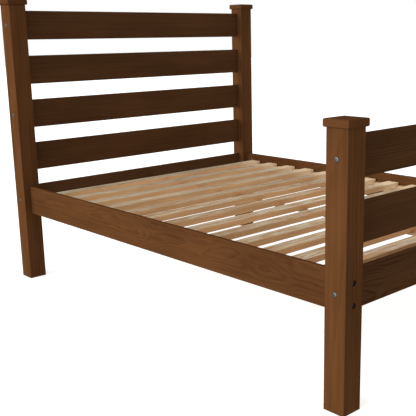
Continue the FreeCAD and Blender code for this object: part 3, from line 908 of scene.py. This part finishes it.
class BED_OT_wood_screws(bpy.types.Operator):
    """Make the heads of the screws in the slats, ledgers, batten and cleats."""
    bl_idname = "bed.wood_screws"
    bl_label = "Wood screws"

    def execute(self, context):
        metal = context.scene.hardware
        zinc = steel("zinc_screws", metal.zinc, metallic=0.8, rough=0.38, fineness=300.0)
        slats = [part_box(name) for name in SLATS]
        rows = [(low.y + high.y) / 2 for low, high in slats]
        between_rows = [(first + second) / 2 for first, second in zip(rows, rows[1:])]
        slat_right_end, top = slats[0][1].x, slats[0][1].z
        ledger_low, ledger_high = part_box("ledger_right")
        ledger_x, ledger_z = ledger_low.x, (ledger_low.z + ledger_high.z) / 2
        screw_x = (ledger_x + slat_right_end) / 2
        batten_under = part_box("centre_batten")[0].z
        cleat_places = []
        for name, outwards in zip(CLEATS, (Y, -Y)):
            low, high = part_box(name)
            face = low.y if outwards == Y else high.y
            for x in (-CLEAT_SCREW_REACH, CLEAT_SCREW_REACH):
                cleat_places.append(facing(-outwards, (x, face, (low.z + high.z) / 2)))
        sets = {
            "slat_screws": [facing(Z, (side * screw_x, y, top)) for side in (-1, 1)
                            for y in rows],
            "ledger_screws": [facing(-side * X, (side * ledger_x, y, ledger_z))
                              for side in (-1, 1) for y in between_rows],
            "batten_screws": [facing(-Z, (0, y, batten_under)) for y in rows],
            "cleat_screws": cleat_places,
        }
        for name, places in sets.items():
            shape = screw_head_shape(metal.screw_head / 2, metal.cross_wide)
            add_copies(shape, places)
            finish_piece(name, shape, zinc, "zinc_steel")
        return {"FINISHED"}


class BED_OT_stage(bpy.types.Operator):
    """Set the pale floor, the soft light and the camera at the photo's angle."""
    bl_idname = "bed.stage"
    bl_label = "Stage"

    def execute(self, context):
        settings = context.scene.bed_stage
        self.lay_floor(context, settings)
        self.set_lights(context, settings)
        self.set_camera(context, settings)
        context.scene.view_settings.view_transform = "Standard"
        return {"FINISHED"}

    def lay_floor(self, context, settings):
        """Lay a pale floor that lights itself a little."""
        shape = bmesh.new()
        bmesh.ops.create_grid(shape, x_segments=1, y_segments=1, size=settings.floor_size / 2)
        mesh = bpy.data.meshes.new("floor")
        shape.to_mesh(mesh)
        shape.free()
        floor = bpy.data.objects.new("floor", mesh)
        context.scene.collection.objects.link(floor)
        material, _, shader = new_material("pale_floor")
        shader.inputs["Base Color"].default_value = full(settings.floor)
        shader.inputs["Roughness"].default_value = FLOOR_ROUGHNESS
        shader.inputs["Specular IOR Level"].default_value = 0.0
        shader.inputs["Emission Color"].default_value = full(settings.floor)
        shader.inputs["Emission Strength"].default_value = settings.floor_glow
        mesh.materials.append(material)
        # The floor doesn't throw light back, so that the bed is lit from the studio alone
        floor.visible_diffuse = False
        floor.visible_glossy = False

    def set_lights(self, context, settings):
        """Set a soft key light, a weak back light and light all round."""
        for name, power, toward in (("key_light", settings.key_power, KEY_TOWARD),
                                    ("back_light", settings.back_power, BACK_TOWARD)):
            light = bpy.data.lights.new(name, "SUN")
            light.energy = power
            light.angle = LIGHT_WIDTH
            lamp = bpy.data.objects.new(name, light)
            lamp.rotation_euler = Vector(toward).to_track_quat("Z", "Y").to_euler()
            context.scene.collection.objects.link(lamp)

        world = bpy.data.worlds.new("studio")
        context.scene.world = world
        world.use_nodes = True
        tree = world.node_tree
        tree.nodes.clear()
        # The camera sees plain white, and the bed gets the fill light
        seen = node(tree, "ShaderNodeLightPath").outputs["Is Camera Ray"]
        power = calc(tree, "MAXIMUM", seen, settings.fill_power)
        lit = node(tree, "ShaderNodeBackground", {"Color": (1, 1, 1, 1), "Strength": power})
        node(tree, "ShaderNodeOutputWorld", {"Surface": lit.outputs[0]})

    def set_camera(self, context, settings):
        """Set the camera at the photo's angle."""
        camera = bpy.data.cameras.new("camera")
        camera.sensor_width = SENSOR_WIDTH
        camera.lens = settings.camera_lens
        camera.shift_x, camera.shift_y = settings.camera_shift
        camera.clip_end = FARTHEST_SEEN
        viewer = bpy.data.objects.new("camera", camera)
        viewer.location = settings.camera_place
        viewer.rotation_euler = settings.camera_turn
        context.scene.collection.objects.link(viewer)
        context.scene.camera = viewer


OPERATORS = (BED_OT_posts, BED_OT_caps, BED_OT_head_boards, BED_OT_foot_boards,
             BED_OT_side_boards, BED_OT_slats, BED_OT_slat_carriers, BED_OT_rail_bolts,
             BED_OT_side_bolts, BED_OT_hidden_hardware, BED_OT_wood_screws, BED_OT_stage)


class BED_PT_panel(bpy.types.Panel):
    """Sizes, colours and steps of the bed frame."""
    bl_idname = "BED_PT_panel"
    bl_label = "Bed Frame"
    bl_space_type = "VIEW_3D"
    bl_region_type = "UI"
    bl_category = "Bed Frame"

    def draw(self, context):
        scene = context.scene
        for settings in (scene.wood_finish, scene.hardware, scene.bed_stage):
            box = self.layout.box()
            for name in settings.__annotations__:
                box.prop(settings, name)
        for step in OPERATORS:
            self.layout.operator(step.bl_idname)


CLASSES = (WoodFinish, Hardware, StageSettings, *OPERATORS, BED_PT_panel)


def register():
    """Add the settings, the steps and the panel."""
    for item in CLASSES:
        bpy.utils.register_class(item)
    bpy.types.Scene.wood_finish = PointerProperty(type=WoodFinish)
    bpy.types.Scene.hardware = PointerProperty(type=Hardware)
    bpy.types.Scene.bed_stage = PointerProperty(type=StageSettings)


def unregister():
    """Take them away again."""
    del bpy.types.Scene.wood_finish
    del bpy.types.Scene.hardware
    del bpy.types.Scene.bed_stage
    for item in reversed(CLASSES):
        bpy.utils.unregister_class(item)


def main():
    """Build the looks."""
    register()
    for step in OPERATORS:
        group, name = step.bl_idname.split(".")
        getattr(getattr(bpy.ops, group), name)()


if __name__ == "__main__":
    main()
